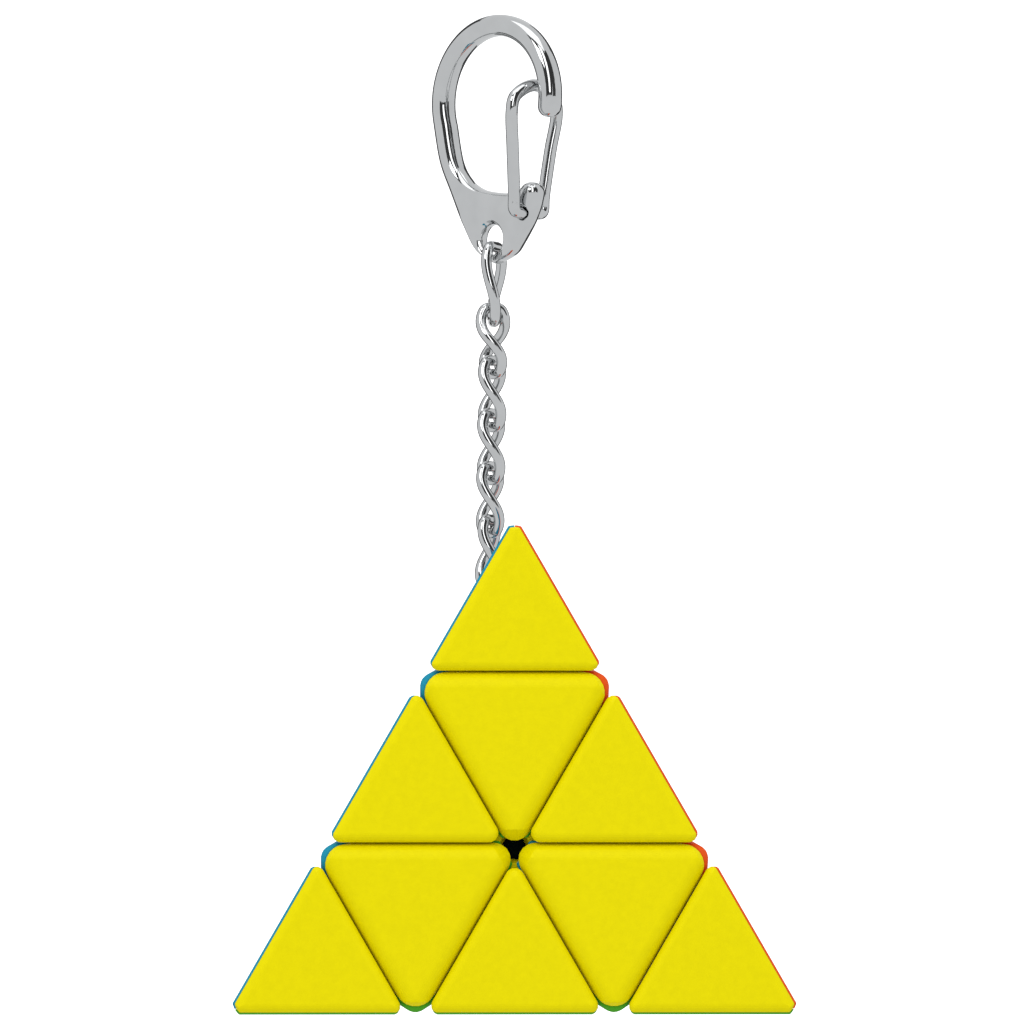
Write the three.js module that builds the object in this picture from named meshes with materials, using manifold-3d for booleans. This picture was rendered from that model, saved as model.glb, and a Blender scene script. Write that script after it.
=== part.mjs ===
// Pyramid twisty puzzle on a keychain: a four-cornered puzzle with turning corners and
// turning tips, hung by a twisted-link chain from a snap hook with a wire gate.
//
// Units are millimetres and +Z is up. The origin is the hanging point: the underside of the
// top of the hook's bow. The puzzle's yellow face looks along -Y.
import * as THREE from "three";
import { ConvexGeometry } from "three/addons/geometries/ConvexGeometry.js";
import { mergeVertices } from "three/addons/utils/BufferGeometryUtils.js";
import Module from "manifold-3d";

const wasm = await Module();
wasm.setup();

// ---- Driving dimensions of the puzzle -------------------------------------------------
const EDGE = 60; // edge of the sharp tetrahedron
const HEIGHT = EDGE * Math.sqrt(2 / 3);
const FACE = HEIGHT / 4; // distance of each face from the centre
const LAYER_CUT = HEIGHT / 12; // distance of a layer's cut from the centre
const TIP_CUT = (5 * HEIGHT) / 12; // distance of a tip's cut from the centre
const CENTRE = new THREE.Vector3(1.7, 2.6, -82.77); // where the puzzle hangs
const GAP = 0.2; // between pieces that turn against each other
const SEAM = 0.1; // between the coloured mouldings of one piece
const OUTER_RADIUS = 1.2; // rounding along the tetrahedron's edges
const CORNER_RADIUS = 1.0; // tile corners of edge pieces
const TIP_RADIUS = 0.7; // tile corners of tips, beside their seams
const AXIAL_RADIUS = 1.9; // tile corners of axial pieces
const FILLET = 0.24; // rounding where a tile meets its seam
const INNER_FILLET = 0.2; // the same on the axial bodies, under their caps
const CAP_THICKNESS = 2.0; // axial caps

// ---- Driving dimensions of the mechanism ----------------------------------------------
const CORE_RADIUS = 7.05;
const FOOT_INNER = 7.35; // the feet and stems run on the core with this radius
const FOOT_OUTER = 9.8;
const FOOT_LAP = 0.35; // a piece's block overlaps its foot or stem by this much
const SHELL_RADIUS = 10.2; // the axial pieces' hooks pass over the feet
const CONE_ANGLE = THREE.MathUtils.degToRad(79); // edge of a foot, seen from a turning axis
const SCREW = { shaft: 0.95, head: 2.2, from: 3.6, under: 13.1, top: 14.5, chamfer: 0.5 };
const SCREW_SLOT = { length: 2.4, width: 0.5, depth: 0.6 };
const THREAD_HOLE = { radius: 1.1, from: 3.2, to: 9 }; // in the core
const SPRING = { radius: 1.75, wire: 0.25, turns: 2.5, from: 10.45, to: 12.6 };
const BORE = { screw: 1.25, from: 4, floor: 10.0, spring: 3.1, ledge: 17.0, neck: 2.75 };
const STEM = { shaft: 2.45, lip: 2.9, bottom: 15.2, shoulder: 16.7, lead: 0.45 };
const SEAT = TIP_CUT + 1; // stems and bores run on past the tip's seam to here
const PEG = { radius: 1.2, length: 1.4, play: 0.25 };

// ---- Driving dimensions of the keychain -----------------------------------------------
const WIRE = 1.22; // chain wire
const LINK = { halfLength: 3.4, halfWidth: 1.52, pitch: 5.416, firstCentre: -31.12 };
const SWIVEL = { halfLength: 3.86, halfWidth: 1.85, centre: -25.31 }; // link in the hook
// The way each kind of link faces at its top and bottom, in degrees about the vertical.
const FACING = { swivel: [240, 275], second: [200, 315], rest: [225, 315], last: [238, 315] };
const TWIST_SPAN = 0.8; // share of a link's length in which it twists
const CHAIN_TOP = new THREE.Vector3(-0.2, 0.1, -21.45);
const CHAIN_LEAN = new THREE.Vector3(-0.0175, -0.003, 0); // sideways drift per mm of fall
const EYE = { radius: 1.3, wire: 0.35, shank: 0.45, length: 5.1, play: 0.12, slack: 0.15 };
const CLASP_SIZE = 1.0142; // the hook and gate below are drawn for a size of 1
const HOOK_TURN = Math.PI / 4; // the hook's plate is turned about the vertical
const BOW = { y: -6.3, outer: 8.6, inner: 6.4 };
const PLATE = { thickness: 2.5, bevel: 0.95, rim: 1.6, clear: 30 }; // cutters run clear of it
const HOLE = { x: -0.2, y: -20.45, radius: 1.45, flare: 0.35 };
const PIVOT = { x: 4.45, y: -18.0, radius: 0.75 };
const GATE = { wire: 1.27, topX: 5.38, topY: -5.2, foot: 2.05, head: 3.25 };

// Unit vectors from the centre to the four corners.
const U = {
  T: new THREE.Vector3(0, -1 / 3, Math.sqrt(8) / 3),
  L: new THREE.Vector3(-Math.sqrt(2 / 3), -1 / 3, -Math.sqrt(2) / 3),
  R: new THREE.Vector3(Math.sqrt(2 / 3), -1 / 3, -Math.sqrt(2) / 3),
  B: new THREE.Vector3(0, 1, 0),
};
const CORNERS = Object.keys(U);
const CORNER_NAME = { T: "top", L: "left", R: "right", B: "back" };
// Each face is named by the corner that it lies opposite to.
const FACE_COLOUR = { B: "yellow", R: "blue", L: "red", T: "green" };
const PAINT = { yellow: 0xe8de00, blue: 0x1f8aa6, red: 0xe2591e, green: 0x4f9f24 };
const AXIAL_BODY_COLOUR = { T: "green", L: "green", R: "blue", B: "blue" };

const others = (...taken) => CORNERS.filter((c) => !taken.includes(c));
const plastic = (colour) =>
  new THREE.MeshStandardMaterial({ color: PAINT[colour], roughness: 0.45, metalness: 0 });
const chrome = () =>
  new THREE.MeshStandardMaterial({ color: 0xc8caca, roughness: 0.12, metalness: 1 });
const steel = () =>
  new THREE.MeshStandardMaterial({ color: 0x9a9c9e, roughness: 0.35, metalness: 1 });

// ---- Solids -----------------------------------------------------------------------------
// A closed three.js geometry as a manifold-3d solid, placed by a matrix if one is given.
function solidOf(geometry, matrix) {
  const bare = geometry.clone();
  bare.deleteAttribute("normal");
  bare.deleteAttribute("uv");
  if (matrix) bare.applyMatrix4(matrix);
  const merged = mergeVertices(bare, 1e-4);
  const mesh = new wasm.Mesh({
    numProp: 3,
    vertProperties: new Float32Array(merged.attributes.position.array),
    triVerts: new Uint32Array(merged.index.array),
  });
  return new wasm.Manifold(mesh);
}

function geometryOf(solid) {
  const mesh = solid.getMesh();
  const geometry = new THREE.BufferGeometry();
  geometry.setAttribute("position", new THREE.BufferAttribute(mesh.vertProperties, 3));
  geometry.setIndex(new THREE.BufferAttribute(mesh.triVerts, 1));
  geometry.computeVertexNormals();
  return geometry;
}

function named(name, geometry, material) {
  const mesh = new THREE.Mesh(geometry, material);
  mesh.name = name;
  return mesh;
}

// A solid of revolution round a direction: the profile is [radius, height] from the bottom up.
function turned(profile, direction, segments = 24) {
  const points = profile.map(([radius, height]) => new THREE.Vector2(radius, height));
  const upright = new THREE.Quaternion().setFromUnitVectors(new THREE.Vector3(0, 1, 0), direction);
  const matrix = new THREE.Matrix4().makeRotationFromQuaternion(upright);
  return solidOf(new THREE.LatheGeometry(points, segments), matrix);
}

const rod = (radius, from, to, direction, segments) =>
  turned([[0, from], [radius, from], [radius, to], [0, to]], direction, segments);

const ball = (radius) => solidOf(new THREE.IcosahedronGeometry(radius, 3));

// The space on the inner side of a plane, as a block far larger than the puzzle.
function below(normal, distance) {
  const size = 200;
  const turn = new THREE.Quaternion().setFromUnitVectors(new THREE.Vector3(0, 0, 1), normal);
  const middle = normal.clone().multiplyScalar(distance - size / 2);
  const matrix = new THREE.Matrix4().compose(middle, turn, new THREE.Vector3(1, 1, 1));
  return solidOf(new THREE.BoxGeometry(size, size, size), matrix);
}

// ---- Rounded convex bodies from planes --------------------------------------------------
const plane = (normal, distance) => ({ normal: normal.clone().normalize(), distance });
const outerFace = (corner) => plane(U[corner].clone().negate(), FACE);
const cutAbove = (corner, cut) => plane(U[corner].clone().negate(), -(cut + GAP / 2));
const cutBelow = (corner, cut) => plane(U[corner], cut - GAP / 2);

// The point at a depth inside three planes, or null where they don't meet.
function meetingPoint(planes, depth = 0) {
  const [a, b, c] = planes.map((p) => p.normal);
  const [da, db, dc] = planes.map((p) => p.distance - depth);
  const bc = b.clone().cross(c);
  const volume = a.dot(bc);
  if (Math.abs(volume) < 1e-6) return null;
  const point = bc.multiplyScalar(da);
  point.add(c.clone().cross(a).multiplyScalar(db));
  point.add(a.clone().cross(b).multiplyScalar(dc));
  return point.divideScalar(volume);
}

// Flats that round the edge between two planes: one at each share of the way between them.
function easeEdge(first, second, radius, flats = 2) {
  const along = plane(first.normal.clone().cross(second.normal), 0);
  const axis = meetingPoint([first, second, { ...along, distance: radius }], radius);
  const shares = Array.from({ length: flats }, (_, i) => (i + 1) / (flats + 1));
  return shares.map((share) => {
    const normal = first.normal.clone().lerp(second.normal, share).normalize();
    return plane(normal, normal.dot(axis) + radius);
  });
}

// A flat that rounds the corner where three planes meet.
function easeCorner(planes, radius) {
  const middle = meetingPoint(planes, radius);
  const normal = new THREE.Vector3();
  planes.forEach((p) => normal.add(p.normal));
  normal.normalize();
  return plane(normal, normal.dot(middle) + radius);
}

// The body inside all the planes, with every edge rounded to a fillet.
function convexBody(planes, fillet = FILLET) {
  const points = [];
  const inside = (point) =>
    planes.every((p) => p.normal.dot(point) <= p.distance - fillet + 1e-5);
  planes.forEach((a, i) =>
    planes.slice(i + 1).forEach((b, j) =>
      planes.slice(i + j + 2).forEach((c) => {
        const point = meetingPoint([a, b, c], fillet);
        if (!point || !inside(point)) return;
        for (const p of [a, b, c]) points.push(p.normal.clone().multiplyScalar(fillet).add(point));
      }),
    ),
  );
  return solidOf(new ConvexGeometry(points));
}

// ---- The mechanism's surfaces -----------------------------------------------------------
// The cone round a corner's axis that bounds the feet, moved outwards by an offset.
function cone(corner, offset) {
  const apex = -offset / Math.sin(CONE_ANGLE);
  const reach = 14;
  const rim = [reach * Math.sin(CONE_ANGLE), apex + reach * Math.cos(CONE_ANGLE)];
  return turned([[0, apex], rim, [rim[0], reach], [0, reach]], U[corner], 24);
}
const insideCone = Object.fromEntries(CORNERS.map((c) => [c, cone(c, -GAP / 2)]));
const outsideCone = Object.fromEntries(CORNERS.map((c) => [c, cone(c, GAP / 2)]));
const footInner = ball(FOOT_INNER);

// ---- Tips -------------------------------------------------------------------------------
function tipBody(tip) {
  const [k, l, m] = others(tip).map(outerFace);
  const base = cutAbove(tip, TIP_CUT);
  const apex = plane(U[tip], 3 * FACE - 2 * OUTER_RADIUS); // a small flat at the very corner
  const planes = [k, l, m, base, apex];
  for (const [a, b] of [[k, l], [l, m], [m, k]])
    planes.push(...easeEdge(a, b, OUTER_RADIUS), easeCorner([a, b, base], TIP_RADIUS));
  const stem = [
    [0, STEM.bottom],
    [STEM.lip - STEM.lead, STEM.bottom],
    [STEM.lip, STEM.bottom + STEM.lead],
    [STEM.lip, STEM.shoulder],
    [STEM.shaft, STEM.shoulder],
    [STEM.shaft, SEAT],
    [0, SEAT],
  ];
  return convexBody(planes).add(turned(stem, U[tip], 15));
}

// A snap stem split in three lets the three coloured mouldings of a tip spring into the bore.
function makeTip(tip) {
  let body = tipBody(tip);
  if (tip === "T") body = body.subtract(eyeBore());
  return others(tip).map((face) => {
    let part = body;
    for (const next of others(tip, face)) {
      const away = U[face].clone().sub(U[next]).normalize();
      part = part.intersect(below(away, -SEAM / 2));
    }
    const colour = FACE_COLOUR[face];
    return named(`tip_${CORNER_NAME[tip]}_${colour}`, geometryOf(part), plastic(colour));
  });
}

// ---- Edge pieces --------------------------------------------------------------------------
function edgeBody(i, j) {
  const [k, l] = others(i, j).map(outerFace);
  const [ci, cj] = [i, j].map((c) => cutAbove(c, LAYER_CUT));
  const planes = [k, l, ci, cj, ...easeEdge(k, l, OUTER_RADIUS), ...easeEdge(ci, cj, CORNER_RADIUS)];
  for (const corner of [[k, l, ci], [k, l, cj], [ci, cj, k], [ci, cj, l]])
    planes.push(easeCorner(corner, CORNER_RADIUS));
  const cap = convexBody(planes).subtract(ball(FOOT_OUTER - FOOT_LAP));
  let foot = ball(FOOT_OUTER).intersect(insideCone[i]).intersect(insideCone[j]);
  for (const other of others(i, j)) foot = foot.subtract(outsideCone[other]);
  return cap.add(foot.subtract(footInner));
}

function makeEdge(i, j) {
  const body = edgeBody(i, j);
  const faces = others(i, j);
  return faces.map((face, n) => {
    const away = U[face].clone().sub(U[faces[1 - n]]).normalize();
    const half = body.intersect(below(away, -SEAM / 2));
    const colour = FACE_COLOUR[face];
    const name = `edge_${CORNER_NAME[i]}_${CORNER_NAME[j]}_${colour}`;
    return named(name, geometryOf(half), plastic(colour));
  });
}

// ---- Axial pieces -------------------------------------------------------------------------
// The middle of an axial piece's tile, on the outer face.
function tileMiddle(axial, face) {
  const octahedronCentre = (LAYER_CUT + TIP_CUT) / 2;
  const halfWidth = (FACE + LAYER_CUT) / 2;
  return U[axial].clone().multiplyScalar(octahedronCentre).addScaledVector(U[face], -halfWidth);
}

function peg(axial, face, radius, from, to) {
  const foot = tileMiddle(axial, face);
  const shift = new THREE.Matrix4().makeTranslation(foot.x, foot.y, foot.z);
  const out = U[face].clone().negate();
  return rod(radius, from, to, out, 8).transform(shift.toArray());
}

function axialCap(axial, face) {
  const [a, b] = others(axial, face);
  const sides = [cutBelow(axial, TIP_CUT), cutBelow(a, LAYER_CUT), cutBelow(b, LAYER_CUT)];
  const back = plane(U[face], -(FACE - CAP_THICKNESS));
  const mitres = [a, b].map((next) => plane(U[face].clone().sub(U[next]), -SEAM / 2));
  const planes = [outerFace(face), back, ...sides, ...mitres];
  for (const [p, q] of [[0, 1], [1, 2], [2, 0]])
    planes.push(...easeEdge(sides[p], sides[q], AXIAL_RADIUS));
  for (const next of [a, b])
    planes.push(...easeEdge(outerFace(face), outerFace(next), OUTER_RADIUS));
  return convexBody(planes).add(peg(axial, face, PEG.radius, -CAP_THICKNESS - PEG.length, -1));
}

function axialCore(axial) {
  const sides = others(axial).map((c) => cutBelow(c, LAYER_CUT));
  const top = cutBelow(axial, TIP_CUT);
  const skins = others(axial).map((c) => plane(U[c].clone().negate(), FACE - CAP_THICKNESS - SEAM));
  const planes = [...skins, ...sides, top, cutAbove(axial, LAYER_CUT)];
  sides.forEach((side, n) => {
    planes.push(...easeEdge(top, side, AXIAL_RADIUS));
    planes.push(...easeEdge(side, sides[(n + 1) % 3], AXIAL_RADIUS));
  });
  let stem = ball(SHELL_RADIUS + FOOT_LAP);
  for (const other of others(axial)) stem = stem.subtract(outsideCone[other]);
  stem = stem.intersect(below(U[axial].clone().negate(), 0));
  let body = convexBody(planes, INNER_FILLET).subtract(ball(SHELL_RADIUS)).add(stem);
  const bore = [
    [0, BORE.from],
    [BORE.screw, BORE.from],
    [BORE.screw, BORE.floor],
    [BORE.spring, BORE.floor],
    [BORE.spring, BORE.ledge],
    [BORE.neck, BORE.ledge],
    [BORE.neck, SEAT],
    [0, SEAT],
  ];
  body = body.subtract(footInner).subtract(turned(bore, U[axial], 16));
  const depth = -CAP_THICKNESS - PEG.length - PEG.play;
  for (const face of others(axial))
    body = body.subtract(peg(axial, face, PEG.radius + PEG.play, depth, 1));
  return body;
}

function makeAxial(axial) {
  const where = CORNER_NAME[axial];
  const caps = others(axial).map((face) => {
    const colour = FACE_COLOUR[face];
    const cap = geometryOf(axialCap(axial, face));
    return named(`axial_${where}_cap_${colour}`, cap, plastic(colour));
  });
  const body = geometryOf(axialCore(axial));
  return [...caps, named(`axial_${where}_body`, body, plastic(AXIAL_BODY_COLOUR[axial]))];
}

// ---- Core, screws and springs -------------------------------------------------------------
function makeCore() {
  let core = ball(CORE_RADIUS);
  for (const c of CORNERS)
    core = core.subtract(rod(THREAD_HOLE.radius, THREAD_HOLE.from, THREAD_HOLE.to, U[c], 12));
  return named("core_ball", geometryOf(core), plastic("blue"));
}

function makeScrew(corner) {
  const { shaft, head, from, under, top, chamfer } = SCREW;
  const profile = [
    [0, from],
    [shaft - chamfer, from],
    [shaft, from + chamfer],
    [shaft, under],
    [head, under],
    [head, top - chamfer],
    [head - chamfer, top],
    [0, top],
  ];
  let screw = turned(profile, U[corner], 12);
  const turn = new THREE.Quaternion().setFromUnitVectors(new THREE.Vector3(0, 0, 1), U[corner]);
  const middle = U[corner].clone().multiplyScalar(top);
  const matrix = new THREE.Matrix4().compose(middle, turn, new THREE.Vector3(1, 1, 1));
  const { length, width, depth } = SCREW_SLOT;
  for (const [x, y] of [[length, width], [width, length]])
    screw = screw.subtract(solidOf(new THREE.BoxGeometry(x, y, 2 * depth), matrix));
  return named(`screw_${CORNER_NAME[corner]}`, geometryOf(screw), steel());
}

class Helix extends THREE.Curve {
  getPoint(t, target = new THREE.Vector3()) {
    const angle = 2 * Math.PI * SPRING.turns * t;
    const rise = THREE.MathUtils.lerp(SPRING.from, SPRING.to, t);
    return target.set(SPRING.radius * Math.cos(angle), SPRING.radius * Math.sin(angle), rise);
  }
}

// A round wire along an open curve, with closed ends.
function wireAlong(curve, radius, sides, steps) {
  const ring = Array.from({ length: sides }, (_, i) => {
    const angle = (2 * Math.PI * i) / sides;
    return new THREE.Vector2(radius * Math.cos(angle), radius * Math.sin(angle));
  });
  const shape = new THREE.Shape(ring);
  return new THREE.ExtrudeGeometry(shape, { extrudePath: curve, steps, bevelEnabled: false });
}

function makeSpring(corner) {
  const wire = wireAlong(new Helix(), SPRING.wire, 4, 24);
  const turn = new THREE.Quaternion().setFromUnitVectors(new THREE.Vector3(0, 0, 1), U[corner]);
  wire.applyQuaternion(turn);
  return named(`spring_${CORNER_NAME[corner]}`, geometryOf(solidOf(wire)), steel());
}

// ---- Chain ----------------------------------------------------------------------------------
// A long ring of wire, twisted about its length so that the next link lies across it.
class TwistedLink extends THREE.Curve {
  constructor(size, facing) {
    super();
    this.size = size;
    [this.top, this.bottom] = facing.map(THREE.MathUtils.degToRad);
  }
  getPoint(t, target = new THREE.Vector3()) {
    const { halfLength, halfWidth } = this.size;
    const across = Math.cos(2 * Math.PI * t);
    const up = Math.sin(2 * Math.PI * t);
    const side = halfWidth * Math.sign(across) * Math.sqrt(Math.abs(across));
    const share = Math.sin((Math.PI / 2) * THREE.MathUtils.clamp(up / TWIST_SPAN, -1, 1));
    const twist = THREE.MathUtils.lerp(this.bottom, this.top, (1 + share) / 2);
    return target.set(side * Math.cos(twist), side * Math.sin(twist), halfLength * up);
  }
}

function chainPoint(height) {
  const fall = CHAIN_TOP.z - height;
  return new THREE.Vector3(CHAIN_TOP.x, CHAIN_TOP.y, height).addScaledVector(CHAIN_LEAN, fall);
}

function makeLink(number, size, facing, centre) {
  const ring = new THREE.TubeGeometry(new TwistedLink(size, facing), 28, WIRE / 2, 7, true);
  const link = named(`chain_link_${number}`, geometryOf(solidOf(ring)), chrome());
  link.position.copy(chainPoint(centre));
  return link;
}

function makeChain() {
  const links = [makeLink(1, SWIVEL, FACING.swivel, SWIVEL.centre)];
  for (let n = 0; n < 5; n++) {
    const facing = { 0: FACING.second, 4: FACING.last }[n] ?? FACING.rest;
    links.push(makeLink(n + 2, LINK, facing, LINK.firstCentre - n * LINK.pitch));
  }
  return links;
}

// ---- Eye pin that ties the top tip to the chain -----------------------------------------------
const LAST_WIRE = LINK.firstCentre - 4 * LINK.pitch - LINK.halfLength;
const EYE_DROP = EYE.radius - EYE.wire - WIRE / 2 - EYE.slack; // the last link hangs in the eye
const EYE_CENTRE = chainPoint(LAST_WIRE - EYE_DROP);
const EYE_SIDE = new THREE.Vector3(1, 1, 0).normalize(); // the ring's plane holds this and +Z
const EYE_AIM = new THREE.Vector3(0.415, 0.415, -0.809).normalize(); // the way the shank goes in

function shank(radius, from, to) {
  const place = new THREE.Matrix4().makeTranslation(EYE_CENTRE.x, EYE_CENTRE.y, EYE_CENTRE.z);
  return rod(radius, from, to, EYE_AIM, 12).transform(place.toArray());
}

// The shank's bore, in the puzzle's own frame.
function eyeBore() {
  const back = new THREE.Matrix4().makeTranslation(-CENTRE.x, -CENTRE.y, -CENTRE.z);
  return shank(EYE.shank + EYE.play, 0, EYE.length + EYE.play).transform(back.toArray());
}

function makeEyePin() {
  const up = new THREE.Vector3(0, 0, 1);
  const place = new THREE.Matrix4().makeBasis(EYE_SIDE, up, EYE_SIDE.clone().cross(up));
  place.setPosition(EYE_CENTRE);
  const ring = solidOf(new THREE.TorusGeometry(EYE.radius, EYE.wire, 6, 18), place);
  return named("eye_pin", geometryOf(ring.add(shank(EYE.shank, EYE.radius, EYE.length))), steel());
}

// ---- Snap hook --------------------------------------------------------------------------------
// The hook is drawn in the plane of its plate: x to the side, y up.
const NOSE = THREE.MathUtils.degToRad(-9); // where the bow ends, about its middle
const BACK = THREE.MathUtils.degToRad(192); // where the bow's outside runs into the plate
const BACK_INSIDE = BACK + 0.12;
const HEEL = { x: 5.0, y: -16.1, radius: 1.2, turn: 0.8 * Math.PI };
const LEFT_SIDE = [[-7.45, -12.3], [-5.85, -15.6], [-4.15, -18.9], [-2.4, -21.5], [0.1, -22.95]];
const RIGHT_SIDE = [[2.4, -22.1], [3.6, -20.9], [4.9, -19.2], [5.75, -17.6], [6.2, -16.1]];
const THROAT = [[2.6, -15.85], [0.3, -15.7], [-2.0, -15.2], [-3.8, -14.1], [-5.2, -12.1]];
const OUTLINE_SPACING = 0.4;

const flat = (list) => list.map(([x, y]) => new THREE.Vector2(x, y));
const onBow = (radius, angle) => [radius * Math.cos(angle), BOW.y + radius * Math.sin(angle)];

function hookOutline() {
  const shape = new THREE.Shape();
  shape.moveTo(...onBow(BOW.outer, NOSE));
  shape.absarc(0, BOW.y, BOW.outer, NOSE, BACK, false);
  shape.splineThru(flat(LEFT_SIDE));
  shape.splineThru(flat(RIGHT_SIDE));
  shape.absarc(HEEL.x, HEEL.y, HEEL.radius, 0, HEEL.turn, false);
  shape.splineThru(flat([...THROAT, onBow(BOW.inner, BACK_INSIDE)]));
  shape.absarc(0, BOW.y, BOW.inner, BACK_INSIDE, NOSE, true);
  const [x, y] = onBow((BOW.outer + BOW.inner) / 2, NOSE);
  shape.absarc(x, y, (BOW.outer - BOW.inner) / 2, NOSE + Math.PI, NOSE + 2 * Math.PI, false);
  return spacedShape(shape.getPoints(7));
}

// A closed outline whose points keep a distance from each other.
function spacedShape(points) {
  const kept = [points[0]];
  for (const point of points) {
    const apart = Math.min(point.distanceTo(kept.at(-1)), point.distanceTo(kept[0]));
    if (apart > OUTLINE_SPACING) kept.push(point);
  }
  return new THREE.Shape(kept);
}

// Cutters that thin the plate towards the rim of the hole, one for each side of the plate.
function rimCutter(side) {
  const half = PLATE.thickness / 2;
  const { rim, clear } = PLATE;
  const profile = [[rim / 2, -clear], [rim / 2, -19.3], [half, -17.4], [clear, -17.4], [clear, -clear]];
  const block = new THREE.ExtrudeGeometry(new THREE.Shape(flat(profile)), {
    depth: clear,
    bevelEnabled: false,
  });
  block.translate(0, 0, -clear / 2).rotateY(-Math.PI / 2);
  if (side < 0) block.rotateY(Math.PI);
  return solidOf(block);
}

// The hole for the chain, flared to both sides of the plate.
function holeCutter() {
  const half = PLATE.rim / 2;
  const { radius, flare } = HOLE;
  const wide = radius + 2 * flare;
  const profile = [[0, -3 * half], [wide, -3 * half], [radius + flare, -half], [radius, -flare]];
  const mirrored = profile.map(([across, height]) => [across, -height]).reverse();
  return turned([...profile, ...mirrored], new THREE.Vector3(0, 0, 1), 20);
}

function makeHook() {
  const { thickness, bevel } = PLATE;
  const blank = new THREE.ExtrudeGeometry(hookOutline(), {
    depth: thickness - 2 * bevel,
    bevelThickness: bevel,
    bevelSize: bevel,
    bevelOffset: -bevel,
    bevelSegments: 2,
    curveSegments: 20,
  });
  blank.translate(0, 0, bevel - thickness / 2);
  const at = (x, y) => new THREE.Matrix4().makeTranslation(x, y, 0).toArray();
  const pivotHole = rod(PIVOT.radius, -thickness, thickness, new THREE.Vector3(0, 0, 1), 16);
  const hook = solidOf(blank)
    .subtract(rimCutter(1))
    .subtract(rimCutter(-1))
    .subtract(holeCutter().transform(at(HOLE.x, HOLE.y)))
    .subtract(pivotHole.transform(at(PIVOT.x, PIVOT.y)));
  return named("clasp_hook", geometryOf(hook), chrome());
}

// The gate is one wire: a foot in each side of the pivot hole, two legs and an arched top.
function gateCurve() {
  const { topX, topY, foot, head } = GATE;
  const { x, y } = PIVOT;
  const side = [
    [x, y, 0.35],
    [x, y, 1.2],
    [x + 0.03, y + 0.3, foot],
    [x + 0.1, y + 2, foot + 0.12],
    [x + 0.45, y + 6.5, foot + 0.7],
    [topX - 0.12, topY - 2.9, head],
    [topX - 0.04, topY - 1.1, head - 0.6],
  ];
  const mirrored = side.map(([a, b, c]) => [a, b, -c]).reverse();
  const points = [...side, [topX, topY, 0], ...mirrored].map((p) => new THREE.Vector3(...p));
  return new THREE.CatmullRomCurve3(points, false, "centripetal");
}

function makeGate() {
  const wire = wireAlong(gateCurve(), GATE.wire / 2, 7, 34);
  return named("clasp_gate", geometryOf(solidOf(wire)), chrome());
}

// ---- Assembly ---------------------------------------------------------------------------------
function makePuzzle() {
  const puzzle = new THREE.Group();
  puzzle.position.copy(CENTRE);
  puzzle.add(makeCore());
  CORNERS.forEach((corner, n) => {
    puzzle.add(...makeTip(corner), ...makeAxial(corner), makeScrew(corner), makeSpring(corner));
    for (const next of CORNERS.slice(n + 1)) puzzle.add(...makeEdge(corner, next));
  });
  return puzzle;
}

function makeClasp() {
  const clasp = new THREE.Group();
  clasp.rotation.set(Math.PI / 2, 0, -HOOK_TURN, "ZYX");
  clasp.add(makeHook(), makeGate());
  for (const piece of clasp.children) piece.geometry.scale(CLASP_SIZE, CLASP_SIZE, CLASP_SIZE);
  return clasp;
}

const part = new THREE.Group();
part.add(makePuzzle(), makeClasp(), ...makeChain(), makeEyePin());

export default part;
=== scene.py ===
import math
from itertools import combinations

import bmesh
import bpy
import numpy as np
from mathutils import Matrix, Vector


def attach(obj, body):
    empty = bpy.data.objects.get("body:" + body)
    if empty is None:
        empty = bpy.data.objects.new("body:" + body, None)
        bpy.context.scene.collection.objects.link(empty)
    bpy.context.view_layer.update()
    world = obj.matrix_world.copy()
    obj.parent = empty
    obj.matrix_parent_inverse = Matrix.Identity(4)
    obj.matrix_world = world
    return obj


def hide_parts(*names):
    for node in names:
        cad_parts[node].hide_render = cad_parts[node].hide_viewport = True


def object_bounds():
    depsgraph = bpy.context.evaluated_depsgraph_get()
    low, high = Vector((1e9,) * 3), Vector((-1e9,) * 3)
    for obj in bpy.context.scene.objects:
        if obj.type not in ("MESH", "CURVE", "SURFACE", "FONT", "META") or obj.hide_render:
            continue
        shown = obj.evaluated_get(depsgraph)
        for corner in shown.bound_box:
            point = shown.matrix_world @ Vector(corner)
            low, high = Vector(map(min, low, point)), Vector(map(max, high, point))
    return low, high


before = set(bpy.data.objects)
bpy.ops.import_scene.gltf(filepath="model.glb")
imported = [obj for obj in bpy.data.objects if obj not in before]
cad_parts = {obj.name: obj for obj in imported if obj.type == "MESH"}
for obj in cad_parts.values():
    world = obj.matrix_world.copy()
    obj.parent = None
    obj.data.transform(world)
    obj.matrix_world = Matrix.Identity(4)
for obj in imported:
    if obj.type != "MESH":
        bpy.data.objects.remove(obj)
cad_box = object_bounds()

MM = 0.001

# ---- Driving dimensions, in millimetres -------------------------------------------------
# They are the CAD's, apart from some seams, the rounding of the tips, of the axial pieces' vertices
# and of the hook's plate, and the hook's hole. Those follow the photo more closely here.
EDGE = 60.0
HEIGHT = EDGE * math.sqrt(2 / 3)
FACE = HEIGHT / 4
LAYER_CUT = HEIGHT / 12
TIP_CUT = 5 * HEIGHT / 12
CENTRE = Vector((1.7, 2.6, -82.77))
GAP = 0.2
SEAM = 0.05  # through the tips and edge pieces; those of the axial caps are twice this, as in the CAD
SKIN = 0.03  # the puzzle's outer faces lie this far inside the CAD's
CHAIN_SKIN = 0.05  # and the chain's wire is this much slimmer in radius
OUTER_RADIUS = 1.2
CORNER_RADIUS = 1.0
AXIAL_RADIUS = 1.9
TIP_RADIUS = 0.95
VERTEX_RADIUS = 1.7
FILLET = 0.24
INNER_FILLET = 0.2
CAP_THICKNESS = 2.0
FOOT_INNER = 7.35
FOOT_OUTER = 9.8
FOOT_LAP = 0.35
SHELL_RADIUS = 10.2
CONE_ANGLE = math.radians(79)
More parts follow.
